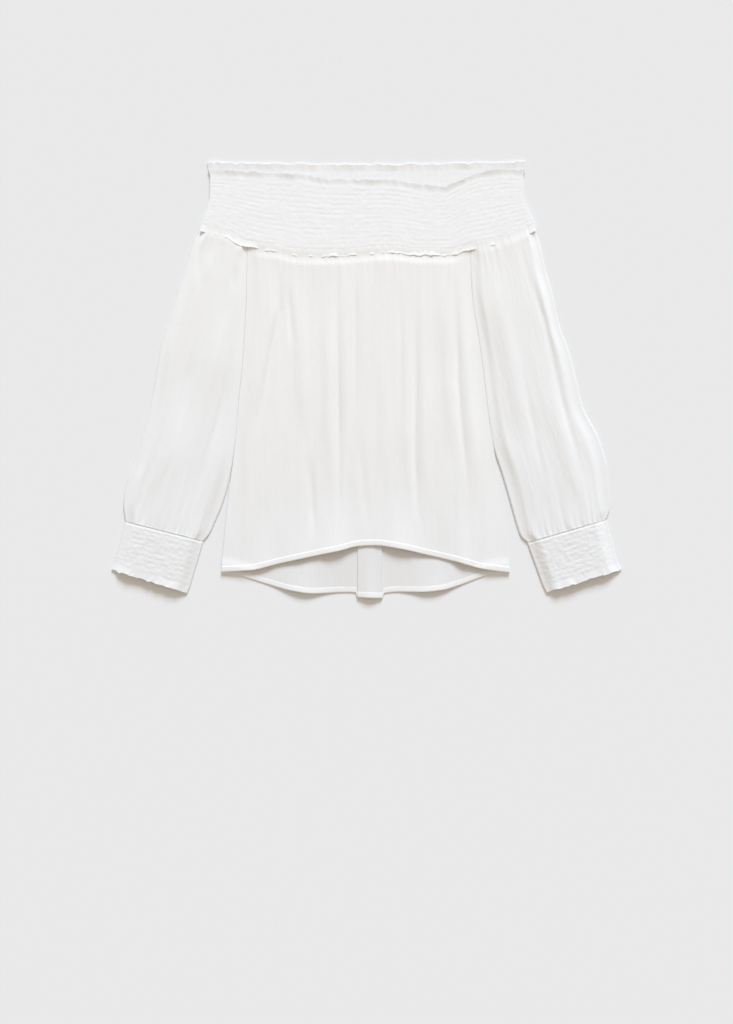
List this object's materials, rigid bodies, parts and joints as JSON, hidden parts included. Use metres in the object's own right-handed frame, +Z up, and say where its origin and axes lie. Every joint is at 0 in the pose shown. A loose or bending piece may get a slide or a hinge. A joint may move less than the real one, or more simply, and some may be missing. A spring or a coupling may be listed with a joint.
{
  "type": "strapless blouse",
  "caption": "Off-the-shoulder blouse laid flat: shirred yoke with small frills, gathered front and back, long sleeves gathered into shirred cuffs, arched front hem.",
  "frame": {"origin": "on the surface that the blouse lies on, under the middle of its outline", "axes": "+Z up out of the front of the blouse, +Y towards its neck, +X across it from cuff to cuff"},
  "size_m": [0.663, 0.567, 0.0085],
  "materials": {
    "yoke_cloth": "white crinkled cotton gauze, drawn up on elastic thread",
    "body_cloth": "white crinkled cotton gauze, warm where it lies double",
    "sleeve_cloth": "white crinkled cotton gauze, slightly sheer"
  },
  "bodies": {
    "root": {"yoke_front": "yoke_cloth", "yoke_back": "yoke_cloth", "top_frill_front": "yoke_cloth", "top_frill_back": "yoke_cloth", "lower_frill_front": "yoke_cloth", "lower_frill_back": "yoke_cloth", "front_panel": "body_cloth", "back_panel": "body_cloth", "front_hem": "body_cloth", "back_hem": "body_cloth", "sleeve_left": "sleeve_cloth", "sleeve_right": "sleeve_cloth", "cuff_left": "sleeve_cloth", "cuff_right": "sleeve_cloth", "cuff_frill_left": "sleeve_cloth", "cuff_frill_right": "sleeve_cloth"}
  },
  "joints": []
}
